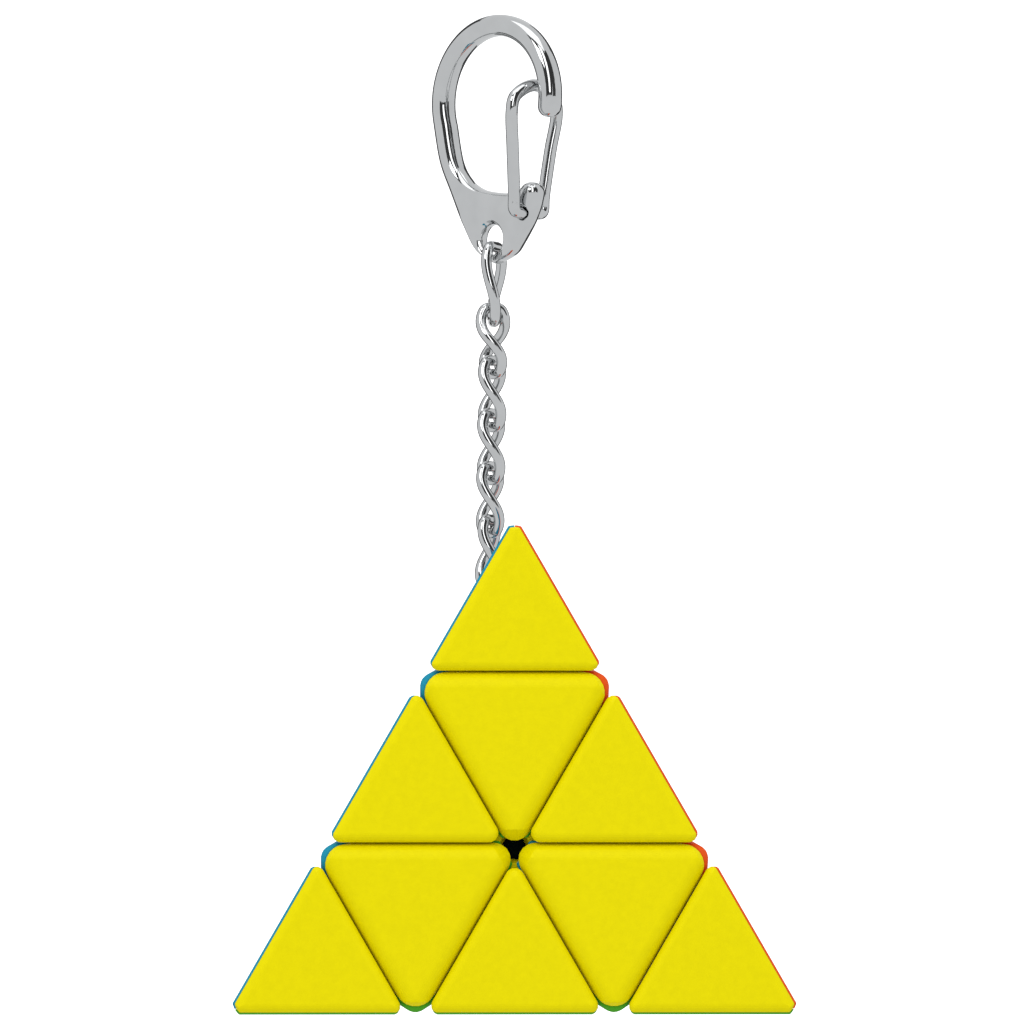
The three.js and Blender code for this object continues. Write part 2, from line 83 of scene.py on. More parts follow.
BORE = {"screw": 1.25, "from": 4, "floor": 10.0, "spring": 3.1, "ledge": 17.0, "neck": 2.75}
STEM = {"shaft": 2.45, "lip": 2.9, "bottom": 15.2, "shoulder": 16.7, "lead": 0.45}
SEAT = TIP_CUT + 1
PEG = {"radius": 1.2, "length": 1.4, "play": 0.25, "root": 1}
STEP_ANGLE = math.radians(14)  # the widest turn between two facets of a rounded edge

WIRE = 1.22
LINK = {"half_length": 3.4, "half_width": 1.52, "pitch": 5.416, "first_centre": -31.12}
SWIVEL = {"half_length": 3.86, "half_width": 1.85, "centre": -25.31}
# which way each link's wire faces at its top and at its bottom, in degrees about the vertical
FACING = {"swivel": (240, 275), "second": (200, 315), "rest": (225, 315), "last": (238, 315)}
TWIST_SPAN = 0.8  # the share of a link's height that its twist takes
END_CROWDING = 0.32  # evens the spacing of a link's points where the wire bends round its ends
LINK_STEPS = 110
WIRE_SIDES = 20
CHAIN_TOP = Vector((-0.2, 0.1, -21.45))
CHAIN_LEAN = Vector((-0.0175, -0.003, 0))
EYE = {"radius": 1.3, "wire": 0.35, "shank": 0.45, "length": 5.1, "slack": 0.15, "steps": 64, "sides": 16}
EYE_SIDE = Vector((1, 1, 0)).normalized()
EYE_AIM = Vector((0.415, 0.415, -0.809)).normalized()
HOOK_TURN = math.pi / 4
BOW = {"y": -6.3, "outer": 8.6, "inner": 6.4, "nose": math.radians(-9), "back": math.radians(192)}
BOW_LAP = 0.12  # the inner curve starts this many radians past the outer one
HEEL = {"x": 5.0, "y": -16.1, "radius": 1.2}
OUTLINE_SPACING = 0.12
CLASP_SIZE = 1.0142
PLATE = {"thickness": 2.5, "bevel": 1.05, "rim": 1.6, "reach": 15, "bottom": -30, "weld": 0.002}
HOLE = {"x": -0.2, "y": -20.45, "radius": 1.5, "flare": 0.38}
PIVOT = {"x": 4.45, "y": -18.0, "radius": 0.75, "half_length": 3}
CAST = {"voxel": 0.13, "rounds": 8, "factor": 0.5}  # the casting's even mesh, and how its edges are softened
GATE = {"wire": 1.27, "top_x": 5.38, "top_y": -5.2, "foot": 2.05, "head": 3.25}

CORNER = {
    "T": Vector((0, -1 / 3, math.sqrt(8) / 3)),
    "L": Vector((-math.sqrt(2 / 3), -1 / 3, -math.sqrt(2) / 3)),
    "R": Vector((math.sqrt(2 / 3), -1 / 3, -math.sqrt(2) / 3)),
    "B": Vector((0, 1, 0)),
}
NAME = {"T": "top", "L": "left", "R": "right", "B": "back"}
UP = Vector((0, 0, 1))
COLOUR = {"B": "yellow", "R": "blue", "L": "red", "T": "green"}
AXIAL_BODY_COLOUR = {"T": "green", "L": "green", "R": "blue", "B": "blue"}


def others(*taken):
    return [c for c in CORNER if c not in taken]


# ---- Materials ----------------------------------------------------------------------------
# Scales are noise cells in a metre, and bump distances are in metres.
NOISE_SPAN = (0.3, 0.7)  # most of a noise lies between these values
SATIN = {"tint": 1500, "gloss": 420, "ripple": 300, "grain": 3600, "specular": 0.06}
SATIN_TINT = (0.97, 1.02)  # the darkest and lightest tint, as shares of the colour
SATIN_ROUGHNESS = (0.4, 0.52)
SATIN_RIPPLE = {"strength": 0.04, "distance": 0.0002}
SATIN_GRAIN = {"strength": 0.35, "distance": 0.00004}
PLATING = {"haze": 500, "ripple": 380, "grain": 5200, "ripple_distance": 0.00012}
PLATING_TINT = 0.94
PLATING_GRAIN = {"strength": 0.1, "distance": 0.00001}


def new_material(name):
    material = bpy.data.materials.new(name)
    material.use_nodes = True
    tree = material.node_tree
    return material, tree, tree.nodes["Principled BSDF"]


def object_noise(tree, scale, detail=2.0, roughness=0.5):
    where = tree.nodes.new("ShaderNodeTexCoord")
    noise = tree.nodes.new("ShaderNodeTexNoise")
    noise.inputs["Scale"].default_value = scale
    noise.inputs["Detail"].default_value = detail
    noise.inputs["Roughness"].default_value = roughness
    tree.links.new(where.outputs["Object"], noise.inputs["Vector"])
    return noise.outputs["Fac"]


def remap(tree, value, low, high):
    """A noise stretched to run from low to high."""
    node = tree.nodes.new("ShaderNodeMapRange")
    node.inputs["From Min"].default_value = NOISE_SPAN[0]
    node.inputs["From Max"].default_value = NOISE_SPAN[1]
    node.inputs["To Min"].default_value = low
    node.inputs["To Max"].default_value = high
    tree.links.new(value, node.inputs["Value"])
    return node.outputs["Result"]


def blend_colours(tree, factor, low, high):
    node = tree.nodes.new("ShaderNodeMix")
    node.data_type = "RGBA"
    node.inputs["A"].default_value = (*low, 1)
    node.inputs["B"].default_value = (*high, 1)
    tree.links.new(factor, node.inputs["Factor"])
    return node.outputs["Result"]


def add_bump(tree, shader, height, strength, distance, below=None):
    bump = tree.nodes.new("ShaderNodeBump")
    bump.inputs["Strength"].default_value = strength
    bump.inputs["Distance"].default_value = distance
    tree.links.new(height, bump.inputs["Height"])
    if below:
        tree.links.new(below, bump.inputs["Normal"])
    tree.links.new(bump.outputs["Normal"], shader.inputs["Normal"])
    return bump.outputs["Normal"]


def moulded_plastic(name, colour):
    """Satin moulded plastic: a fine spark-eroded grain, and a faint unevenness in colour and gloss."""
    material, tree, shader = new_material(name)
    dark = [c * SATIN_TINT[0] for c in colour]
    light = [min(c * SATIN_TINT[1], 1) for c in colour]
    tint = remap(tree, object_noise(tree, SATIN["tint"], detail=4), 0, 1)
    tree.links.new(blend_colours(tree, tint, dark, light), shader.inputs["Base Color"])
    gloss = object_noise(tree, SATIN["gloss"], detail=4)
    tree.links.new(remap(tree, gloss, *SATIN_ROUGHNESS), shader.inputs["Roughness"])
    ripple = add_bump(tree, shader, object_noise(tree, SATIN["ripple"], detail=1), **SATIN_RIPPLE)
    grain = object_noise(tree, SATIN["grain"], detail=3, roughness=0.6)
    add_bump(tree, shader, grain, **SATIN_GRAIN, below=ripple)
    shader.inputs["Specular IOR Level"].default_value = SATIN["specular"]
    return material


def plated_metal(name, colour, roughness, rippling):
    """Bright plating over a cast or drawn surface, with slow ripples and a little haze."""
    material, tree, shader = new_material(name)
    shader.inputs["Metallic"].default_value = 1.0
    haze = object_noise(tree, PLATING["haze"], detail=4)
    dark = [c * PLATING_TINT for c in colour]
    tint = blend_colours(tree, remap(tree, haze, 0, 1), dark, colour)
    tree.links.new(tint, shader.inputs["Base Color"])
    tree.links.new(remap(tree, haze, *roughness), shader.inputs["Roughness"])
    wave = object_noise(tree, PLATING["ripple"])
    ripple = add_bump(tree, shader, wave, rippling, PLATING["ripple_distance"])
    add_bump(tree, shader, object_noise(tree, PLATING["grain"]), **PLATING_GRAIN, below=ripple)
    return material


MATERIALS = {
    "plastic_yellow": moulded_plastic("yellow plastic", (0.80, 0.70, 0.0)),
    "plastic_blue": moulded_plastic("blue plastic", (0.015, 0.27, 0.40)),
    "plastic_red": moulded_plastic("red plastic", (0.76, 0.09, 0.01)),
    "plastic_green": moulded_plastic("green plastic", (0.07, 0.36, 0.015)),
    "chrome": plated_metal("chrome plating", (0.63, 0.64, 0.645), (0.04, 0.08), 0.12),
    # The core's near-black colour is painted shade: darker than black plastic, it stands in for the deep
    # shade seen down into the puzzle's holes.
    "core": moulded_plastic("core plastic near-black as painted shade", (0.002, 0.008, 0.01)),
    "steel": plated_metal("zinc plated steel", (0.52, 0.53, 0.54), (0.28, 0.4), 0.3),
}

# ---- Mesh tools -----------------------------------------------------------------------------
def object_from(bm, name="shape"):
    mesh = bpy.data.meshes.new(name)
    bm.to_mesh(mesh)
    bm.free()
    made = bpy.data.objects.new(name, mesh)
    bpy.context.scene.collection.objects.link(made)
    return made


def discard(made):
    mesh = made.data
    bpy.data.objects.remove(made)
    bpy.data.meshes.remove(mesh)


def apply_modifiers(made):
    """Puts the mesh with its modifiers applied in place of the object's mesh."""
    graph = bpy.context.evaluated_depsgraph_get()
    mesh = bpy.data.meshes.new_from_object(made.evaluated_get(graph))
    old = made.data
    made.modifiers.clear()
    made.data = mesh
    bpy.data.meshes.remove(old)


def cut(made, tool, operation="DIFFERENCE"):
    """Takes the tool from the shape, or joins or intersects them, and discards the tool."""
    boolean = made.modifiers.new("cut", "BOOLEAN")
    boolean.solver = "MANIFOLD"
    boolean.operation = operation
    boolean.object = tool
    apply_modifiers(made)
    discard(tool)
    return made


def turned(profile, direction, segments=48):
    """A solid of revolution about a direction through the origin: the profile is (radius, height)."""
    bm = bmesh.new()
    rings = []
    for radius, height in profile:
        if radius == 0:
            rings.append([bm.verts.new((0, 0, height))])
            continue
        angles = [2 * math.pi * n / segments for n in range(segments)]
        rings.append([bm.verts.new((radius * math.cos(a), radius * math.sin(a), height)) for a in angles])
    for low, high in zip(rings, rings[1:]):
        for n in range(segments):
            m = (n + 1) % segments
            if len(low) == 1:
                bm.faces.new((low[0], high[m], high[n]))
            elif len(high) == 1:
                bm.faces.new((low[n], low[m], high[0]))
            else:
                bm.faces.new((low[n], low[m], high[m], high[n]))
    bmesh.ops.recalc_face_normals(bm, faces=bm.faces)
    made = object_from(bm)
    made.data.transform(UP.rotation_difference(direction).to_matrix().to_4x4())
    return made


def rod(radius, low, high, direction, segments=32):
    return turned([(0, low), (radius, low), (radius, high), (0, high)], direction, segments)


def ball(radius):
    bm = bmesh.new()
    bmesh.ops.create_icosphere(bm, subdivisions=5, radius=radius)
    return object_from(bm)


def inner_side(normal, distance):
    """A large block that fills the inner side of a plane."""
    size = 200.0
    bm = bmesh.new()
    bmesh.ops.create_cube(bm, size=size)
    turn = UP.rotation_difference(normal).to_matrix().to_4x4()
    bm.transform(Matrix.Translation(normal * (distance - size / 2)) @ turn)
    return object_from(bm)


def wire_frames(points, closed):
    """At each point of a run, its tangent and a normal that doesn't spin about it from point to point."""
    count = len(points)
    tangents = []
    for n in range(count):
        before = points[(n - 1) % count] if closed or n else points[0]
        after = points[(n + 1) % count] if closed or n < count - 1 else points[-1]
        tangents.append((after - before).normalized())
    normals = [tangents[0].orthogonal().normalized()]
    for a, b in zip(tangents, tangents[1:]):
        normal = a.rotation_difference(b) @ normals[-1]
        normals.append((normal - b * normal.dot(b)).normalized())
    return tangents, normals


def closing_slip(tangents, normals):
    """The angle by which a closed run's last normal misses its first."""
    last = tangents[-1].rotation_difference(tangents[0]) @ normals[-1]
    return math.atan2(tangents[0].dot(last.cross(normals[0])), last.dot(normals[0]))


def tube(points, radius, sides, closed):
    """A round wire along a smooth run of points."""
    tangents, normals = wire_frames(points, closed)
    slip = closing_slip(tangents, normals) if closed else 0.0
    bm = bmesh.new()
    rings = []
    for n, point in enumerate(points):
        side = normals[n].cross(tangents[n])
        ring = []
        for k in range(sides):
            angle = 2 * math.pi * k / sides - slip * n / len(points)
            way = math.cos(angle) * normals[n] + math.sin(angle) * side
            ring.append(bm.verts.new(point + radius * way))
        rings.append(ring)
    for low, high in zip(rings, rings[1:] + (rings[:1] if closed else [])):
        for k in range(sides):
            m = (k + 1) % sides
            bm.faces.new((low[k], low[m], high[m], high[k]))
    if not closed:
        bm.faces.new(rings[0])
        bm.faces.new(rings[-1])
    bmesh.ops.recalc_face_normals(bm, faces=bm.faces)
    return object_from(bm)


def spline(points, steps):
    """Points along a Catmull-Rom curve through the given points."""
    found = []
    for n in range(len(points) - 1):
        p0, p1, p2, p3 = (points[min(max(n + k, 0), len(points) - 1)] for k in (-1, 0, 1, 2))
        a = (p2 - p0) * 0.5
        b = (p3 - p1) * 0.5
        cubic = 2 * p1 - 2 * p2 + a + b
        square = -3 * p1 + 3 * p2 - 2 * a - b
        for step in range(steps):
            t = step / steps
            found.append(cubic * t**3 + square * t**2 + a * t + p1)
    return found + [points[-1]]


def finish_piece(made, node, kind, body, slot, crease=35):
    """Scales a piece to metres, gives it the material listed under its slot, attaches it to its body, and
    puts it in place of a CAD node.
    """
    made.name = f"{node}_{kind}"
    made.data.name = made.name
    made.data.transform(Matrix.Scale(MM, 4))
    made.data.materials.clear()
    made.data.materials.append(MATERIALS[slot])
    made.data.shade_smooth()
    made.data.set_sharp_from_angle(angle=math.radians(crease))
    weighted = made.modifiers.new("even shading", "WEIGHTED_NORMAL")
    weighted.keep_sharp = True
    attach(made, body)
    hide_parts(node)


# ---- Rounded convex bodies from planes --------------------------------------------------------
# A plane is its outward unit normal and its distance from the puzzle's centre.
BLOCK_SIZE = 120  # larger than any body
ON_PLANE = 0.002  # a point this near to a plane lies on it
SAME_POINT = 0.001
SAME_WAY = 0.02  # radians


def plane(normal, distance):
    return normal.normalized(), distance


def outer_face(corner):
    return plane(-CORNER[corner], FACE - SKIN)


def cut_above(corner, height):
    return plane(-CORNER[corner], -(height + GAP / 2))


def cut_below(corner, height):
    return plane(CORNER[corner], height - GAP / 2)


def meeting_point(planes, depth):
    """The point where three planes meet, once each is moved inward by the depth."""
    normals = np.array([p[0] for p in planes])
    return Vector(np.linalg.solve(normals, np.array([p[1] - depth for p in planes])))


def steps_between(normals):
    widest = max(a.angle(b) for a in normals for b in normals)
    return max(1, math.ceil(widest / STEP_ANGLE))


def directions(normals):
    """Unit vectors spread over the patch between three normals."""
    a, b, c = normals
    steps = steps_between(normals)
    return [
        (a * (steps - i - j) + b * i + c * j).normalized()
        for i in range(steps + 1)
        for j in range(steps + 1 - i)
    ]


def ease_edge(first, second, radius):
    """Flats that round the edge between two planes."""
    along = first[0].cross(second[0]).normalized()
    axis = meeting_point([first, second, (along, radius)], radius)
    steps = steps_between([first[0], second[0]])
    normals = [first[0].lerp(second[0], n / steps).normalized() for n in range(1, steps)]
    return [(normal, normal.dot(axis) + radius) for normal in normals]


def ease_corner(planes, radius):
    """Flats that round the corner where three planes meet."""
    middle = meeting_point(planes, radius)
    own = [p[0] for p in planes]
    spread = [n for n in directions(own) if all(n.angle(o) > SAME_WAY for o in own)]
    return [(normal, normal.dot(middle) + radius) for normal in spread]


def clipped_block(planes, inset):
    """The corners of a block clipped by all the planes, each moved inward by the inset."""
    bm = bmesh.new()
    bmesh.ops.create_cube(bm, size=BLOCK_SIZE)
    for normal, distance in planes:
        everything = bm.verts[:] + bm.edges[:] + bm.faces[:]
        place = {"plane_co": normal * (distance - inset), "plane_no": normal}
        result = bmesh.ops.bisect_plane(bm, geom=everything, dist=1e-5, clear_outer=True, **place)
        rim = [g for g in result["geom_cut"] if isinstance(g, bmesh.types.BMEdge)]
        if rim:
            bmesh.ops.contextual_create(bm, geom=rim)
    bmesh.ops.remove_doubles(bm, verts=bm.verts, dist=SAME_POINT)
    corners = [v.co.copy() for v in bm.verts]
    bm.free()
    return corners


def convex_body(planes, fillet=FILLET):
    """The body inside all the planes, with every edge rounded to a fillet."""
    normals = np.array([p[0] for p in planes])
    depths = np.array([p[1] - fillet for p in planes])
    points = {}
    for corner in clipped_block(planes, fillet):
        meeting = np.flatnonzero(np.abs(normals @ np.array(corner) - depths) < ON_PLANE)
        for trio in combinations(meeting, 3):
            for way in directions([planes[n][0] for n in trio]):
                spot = corner + way * fillet
                points[tuple(round(v, 3) for v in spot)] = spot
    bm = bmesh.new()
    for spot in points.values():
        bm.verts.new(spot)
    hull = bmesh.ops.convex_hull(bm, input=bm.verts)
    unused = hull["geom_interior"] + hull["geom_unused"]
    spare = {g for g in unused if isinstance(g, bmesh.types.BMVert)}
    bmesh.ops.delete(bm, geom=list(spare), context="VERTS")
    bmesh.ops.recalc_face_normals(bm, faces=bm.faces)
    return object_from(bm)


# ---- Puzzle pieces ------------------------------------------------------------------------------
def cone(corner, offset):
    """The cone about a corner's axis that divides its layer's feet from the others', moved outward."""
    apex = -offset / math.sin(CONE_ANGLE)
    reach = 14.0
    rim = (reach * math.sin(CONE_ANGLE), apex + reach * math.cos(CONE_ANGLE))
    return turned([(0, apex), rim, (rim[0], reach), (0, reach)], CORNER[corner], segments=72)


def copy_of(made):
    twin = made.copy()
    twin.data = made.data.copy()
    bpy.context.scene.collection.objects.link(twin)
    return twin


def finish_shell(made, node, body, colour):
    made.data.transform(Matrix.Translation(CENTRE))
    finish_piece(made, node, "shell", body, f"plastic_{colour}")


def tip_stem(tip):
    """The snap stem: a shaft with a lip that catches behind the axial piece's ledge."""
    stem = [
        (0, STEM["bottom"]),
        (STEM["lip"] - STEM["lead"], STEM["bottom"]),
        (STEM["lip"], STEM["bottom"] + STEM["lead"]),
        (STEM["lip"], STEM["shoulder"]),
        (STEM["shaft"], STEM["shoulder"]),
        (STEM["shaft"], SEAT),
        (0, SEAT),
    ]
    return turned(stem, CORNER[tip])


def make_tip(tip):
    outer = [outer_face(c) for c in others(tip)]
    base = cut_above(tip, TIP_CUT)
    apex = plane(CORNER[tip], 3 * FACE - 2 * OUTER_RADIUS - SKIN)
    planes = [*outer, base, apex]
    for n in range(3):
        pair = [outer[n], outer[(n + 1) % 3]]
        planes += ease_edge(*pair, OUTER_RADIUS) + ease_corner([*pair, base], TIP_RADIUS)
    body = cut(convex_body(planes), tip_stem(tip), "UNION")
    for face in others(tip):
        part = copy_of(body)
        for neighbour in others(tip, face):
            away = (CORNER[face] - CORNER[neighbour]).normalized()
            cut(part, inner_side(away, -SEAM / 2), "INTERSECT")
        colour = COLOUR[face]
        finish_shell(part, f"tip_{NAME[tip]}_{colour}", f"tip_{NAME[tip]}", colour)
    discard(body)


def edge_foot(i, j):
    """The part of the ball shell that two layers' cones share, less the other two layers' cones."""
    foot = ball(FOOT_OUTER)
    for corner in (i, j):
        cut(foot, cone(corner, -GAP / 2), "INTERSECT")
    for corner in others(i, j):
        cut(foot, cone(corner, GAP / 2))
    return cut(foot, ball(FOOT_INNER))


def make_edge(i, j):
    faces = others(i, j)
    shown = [outer_face(c) for c in faces]
    hidden = [cut_above(c, LAYER_CUT) for c in (i, j)]
    planes = [*shown, *hidden, *ease_edge(*shown, OUTER_RADIUS), *ease_edge(*hidden, CORNER_RADIUS)]
    for corner in [[*shown, side] for side in hidden] + [[*hidden, side] for side in shown]:
        planes += ease_corner(corner, CORNER_RADIUS)
    body = cut(convex_body(planes), ball(FOOT_OUTER - FOOT_LAP))
    cut(body, edge_foot(i, j), "UNION")
    piece = f"edge_{NAME[i]}_{NAME[j]}"
    for face, neighbour in (faces, faces[::-1]):
        away = (CORNER[face] - CORNER[neighbour]).normalized()
        half = cut(copy_of(body), inner_side(away, -SEAM / 2), "INTERSECT")
        finish_shell(half, f"{piece}_{COLOUR[face]}", piece, COLOUR[face])
    discard(body)


def axial_peg(axial, face, radius, low, high):
    """A peg behind the middle of an axial piece's face, between two heights over the face."""
    middle = CORNER[axial] * (LAYER_CUT + TIP_CUT) / 2 - CORNER[face] * (FACE + LAYER_CUT) / 2
    made = rod(radius, low, high, -CORNER[face], segments=24)
    made.data.transform(Matrix.Translation(middle))
    return made


def make_axial_cap(axial, face):
    a, b = others(axial, face)
    sides = [cut_below(axial, TIP_CUT), cut_below(a, LAYER_CUT), cut_below(b, LAYER_CUT)]
    back = plane(CORNER[face], -(FACE - CAP_THICKNESS))
    mitres = [plane(CORNER[face] - CORNER[c], -SEAM) for c in (a, b)]
    planes = [outer_face(face), back, *sides, *mitres]
    for n in range(3):
        planes += ease_edge(sides[n], sides[(n + 1) % 3], AXIAL_RADIUS)
    for neighbour, across in ((a, b), (b, a)):
        ridge = [outer_face(face), outer_face(neighbour)]
        planes += ease_edge(*ridge, OUTER_RADIUS)
        for side in (cut_below(axial, TIP_CUT), cut_below(across, LAYER_CUT)):
            planes += ease_corner([*ridge, side], VERTEX_RADIUS)
    cap = convex_body(planes)
    peg = axial_peg(axial, face, PEG["radius"], -CAP_THICKNESS - PEG["length"], -PEG["root"])
    cut(cap, peg, "UNION")
    colour = COLOUR[face]
    finish_shell(cap, f"axial_{NAME[axial]}_cap_{colour}", f"corner_{NAME[axial]}", colour)


def axial_block(axial):
    sides = [cut_below(c, LAYER_CUT) for c in others(axial)]
    top = cut_below(axial, TIP_CUT)
    skins = [plane(-CORNER[c], FACE - CAP_THICKNESS - 2 * SEAM) for c in others(axial)]
    planes = [*skins, *sides, top, cut_above(axial, LAYER_CUT)]
    for n in range(3):
        planes += ease_edge(top, sides[n], AXIAL_RADIUS)
        planes += ease_edge(sides[n], sides[(n + 1) % 3], AXIAL_RADIUS)
    return cut(convex_body(planes, INNER_FILLET), ball(SHELL_RADIUS))


def axial_root(axial):
    """The part of the body between the edge pieces' feet, down towards the core."""
    root = ball(SHELL_RADIUS + FOOT_LAP)
    for other in others(axial):
        cut(root, cone(other, GAP / 2))
    return cut(root, inner_side(-CORNER[axial], 0), "INTERSECT")


def axial_bore(axial):
    """The bore for the screw, the spring and the tip's stem, with the ledge that holds the stem."""
    bore = [
        (0, BORE["from"]),
        (BORE["screw"], BORE["from"]),
        (BORE["screw"], BORE["floor"]),
        (BORE["spring"], BORE["floor"]),
        (BORE["spring"], BORE["ledge"]),
        (BORE["neck"], BORE["ledge"]),
        (BORE["neck"], SEAT),
        (0, SEAT),
    ]
    return turned(bore, CORNER[axial])


def make_axial_body(axial):
    body = cut(axial_block(axial), axial_root(axial), "UNION")
    cut(body, ball(FOOT_INNER))
    cut(body, axial_bore(axial))
    depth = -CAP_THICKNESS - PEG["length"] - PEG["play"]
    for face in others(axial):
        cut(body, axial_peg(axial, face, PEG["radius"] + PEG["play"], depth, PEG["root"]))
    place = NAME[axial]
    finish_shell(body, f"axial_{place}_body", f"corner_{place}", AXIAL_BODY_COLOUR[axial])


# ---- Chain ----------------------------------------------------------------------------------------
def chain_point(height):
    """Where the chain's leaning line is at a height."""
    fall = CHAIN_TOP.z - height
    return Vector((CHAIN_TOP.x, CHAIN_TOP.y, height)) + CHAIN_LEAN * fall


def link_points(size, facing):
    """The wire's middle line: a long ring, twisted from the way it faces at the top to that at the bottom."""
    top, bottom = (math.radians(angle) for angle in facing)
    points = []
    for n in range(LINK_STEPS):
        around = 2 * math.pi * n / LINK_STEPS
        around += END_CROWDING * math.sin(2 * around)
        across, up = math.cos(around), math.sin(around)
        side = size["half_width"] * math.copysign(math.sqrt(abs(across)), across)
        share = math.sin(0.5 * math.pi * min(max(up / TWIST_SPAN, -1), 1))
        twist = bottom + (top - bottom) * (1 + share) / 2
        height = size["half_length"] * up
        points.append(Vector((side * math.cos(twist), side * math.sin(twist), height)))
    return points


def make_link(number, size, facing, centre):
    made = tube(link_points(size, facing), WIRE / 2 - CHAIN_SKIN, WIRE_SIDES, closed=True)
    made.data.transform(Matrix.Translation(chain_point(centre)))
    finish_piece(made, f"chain_link_{number}", "wire", f"link_{number}", "chrome", crease=60)


def make_chain():
    make_link(1, SWIVEL, FACING["swivel"], SWIVEL["centre"])
    for n, kind in enumerate(["second", "rest", "rest", "rest", "last"]):
        make_link(n + 2, LINK, FACING[kind], LINK["first_centre"] - n * LINK["pitch"])


# ---- Snap hook --------------------------------------------------------------------------------------
def arc(x, y, radius, start, end, steps):
    """Points along an arc between two angles."""
    angles = [start + (end - start) * n / steps for n in range(steps + 1)]
    return [Vector((x + radius * math.cos(a), y + radius * math.sin(a))) for a in angles]


def curve_through(*places):
    return spline([Vector(place) for place in places], steps=8)


def hook_outline():
    y, outer_radius, inner_radius = BOW["y"], BOW["outer"], BOW["inner"]
    nose, back, lap = BOW["nose"], BOW["back"], BOW["back"] + BOW_LAP
    outer = arc(0, y, outer_radius, nose, back, steps=60)
    left = curve_through(
        outer[-1], (-7.45, -12.3), (-5.85, -15.6), (-4.15, -18.9), (-2.4, -21.5), (0.1, -22.95)
    )
    right = curve_through(
        (0.1, -22.95), (2.4, -22.1), (3.6, -20.9), (4.9, -19.2), (5.75, -17.6), (6.2, -16.1)
    )
    heel = arc(HEEL["x"], HEEL["y"], HEEL["radius"], 0, math.pi * 0.8, steps=12)
    inner = arc(0, y, inner_radius, lap, nose, steps=50)
    throat = curve_through(
        heel[-1], (2.6, -15.85), (0.3, -15.7), (-2.0, -15.2), (-3.8, -14.1), (-5.2, -12.1), inner[0]
    )
    middle = (outer_radius + inner_radius) / 2
    tip = (middle * math.cos(nose), y + middle * math.sin(nose))
    cap = arc(*tip, (outer_radius - inner_radius) / 2, nose + math.pi, nose + 2 * math.pi, steps=12)
    return spaced([*outer, *left, *right, *heel, *throat, *inner, *cap])


def spaced(run):
    """The points of a closed run, less those that crowd the one before."""
    points = []
    for point in run:
        if not points or (point - points[-1]).length > OUTLINE_SPACING:
            points.append(point)
    while (points[-1] - points[0]).length < OUTLINE_SPACING:
        points.pop()
    return points


def drawn_curve(outline, thickness, bevel):
    curve = bpy.data.curves.new("outline", "CURVE")
    curve.dimensions = "2D"
    curve.fill_mode = "BOTH"
    curve.extrude = thickness / 2 - bevel
    curve.bevel_depth = bevel
    curve.bevel_resolution = 5
    curve.offset = -bevel
    line = curve.splines.new("POLY")
    line.points.add(len(outline) - 1)
    for point, place in zip(line.points, outline):
        point.co = (*place, 0, 1)
    line.use_cyclic_u = True
    return curve


def bevelled_plate(outline, thickness, bevel):
    """A solid plate of an outline with round edges."""
    curve = drawn_curve(outline, thickness, bevel)
    drawn = bpy.data.objects.new("outline", curve)
    bpy.context.scene.collection.objects.link(drawn)
    graph = bpy.context.evaluated_depsgraph_get()
    mesh = bpy.data.meshes.new_from_object(drawn.evaluated_get(graph))
    bpy.data.objects.remove(drawn)
    bpy.data.curves.remove(curve)
    bm = bmesh.new()
    bm.from_mesh(mesh)
    bpy.data.meshes.remove(mesh)
    bmesh.ops.remove_doubles(bm, verts=bm.verts, dist=PLATE["weld"])
    bmesh.ops.recalc_face_normals(bm, faces=bm.faces)
    return object_from(bm, "plate")


def rim_cutter(side):
    """What thins one side of the plate round the eye: its profile is (half thickness, height)."""
    half, rim, bottom = PLATE["thickness"] / 2, PLATE["rim"] / 2, PLATE["bottom"]
    profile = [(rim, bottom), (half + 2, bottom), (half + 2, -17.0), (half + 0.05, -17.2)]
    profile += [(half - 0.1, -17.8), (rim + 0.1, -19.0), (rim, -19.6)]
    bm = bmesh.new()
    near = [bm.verts.new((-PLATE["reach"], y, side * m)) for m, y in profile]
    far = [bm.verts.new((PLATE["reach"], y, side * m)) for m, y in profile]
    bm.faces.new(near)
    bm.faces.new(far)
    for n in range(len(profile)):
        m = (n + 1) % len(profile)
        bm.faces.new((near[n], near[m], far[m], far[n]))
    bmesh.ops.recalc_face_normals(bm, faces=bm.faces)
    return object_from(bm)


def eye_cutter():
    """The chain's hole through the plate, flared at both mouths."""
    half, radius, flare = PLATE["rim"] / 2, HOLE["radius"], HOLE["flare"]
    wide = radius + 2 * flare
    flared = [(0, -3 * half), (wide, -3 * half), (radius + flare, -half), (radius, -flare)]
    flared += [(across, -height) for across, height in reversed(flared)]
    eye = turned(flared, UP)
    eye.data.transform(Matrix.Translation((HOLE["x"], HOLE["y"], 0)))
    return eye


def pivot_cutter():
    pivot = rod(PIVOT["radius"], -PIVOT["half_length"], PIVOT["half_length"], UP)
    pivot.data.transform(Matrix.Translation((PIVOT["x"], PIVOT["y"], 0)))
    return pivot


# The hook and gate are drawn flat, stood up, and turned to face half left.
CLASP_TURN = Matrix.Rotation(-HOOK_TURN, 4, "Z") @ Matrix.Rotation(math.pi / 2, 4, "X")
CLASP_PLACE = CLASP_TURN @ Matrix.Scale(CLASP_SIZE, 4)


def make_hook():
    hook = bevelled_plate(hook_outline(), PLATE["thickness"], PLATE["bevel"])
    for tool in (rim_cutter(1), rim_cutter(-1), eye_cutter(), pivot_cutter()):
        cut(hook, tool)
    remesh = hook.modifiers.new("even mesh", "REMESH")
    remesh.mode = "VOXEL"
    remesh.voxel_size = CAST["voxel"]
    smooth = hook.modifiers.new("cast edges", "SMOOTH")
    smooth.iterations = CAST["rounds"]
    smooth.factor = CAST["factor"]
    apply_modifiers(hook)
    hook.data.transform(CLASP_PLACE)
    finish_piece(hook, "clasp_hook", "casting", "clasp", "chrome", crease=70)


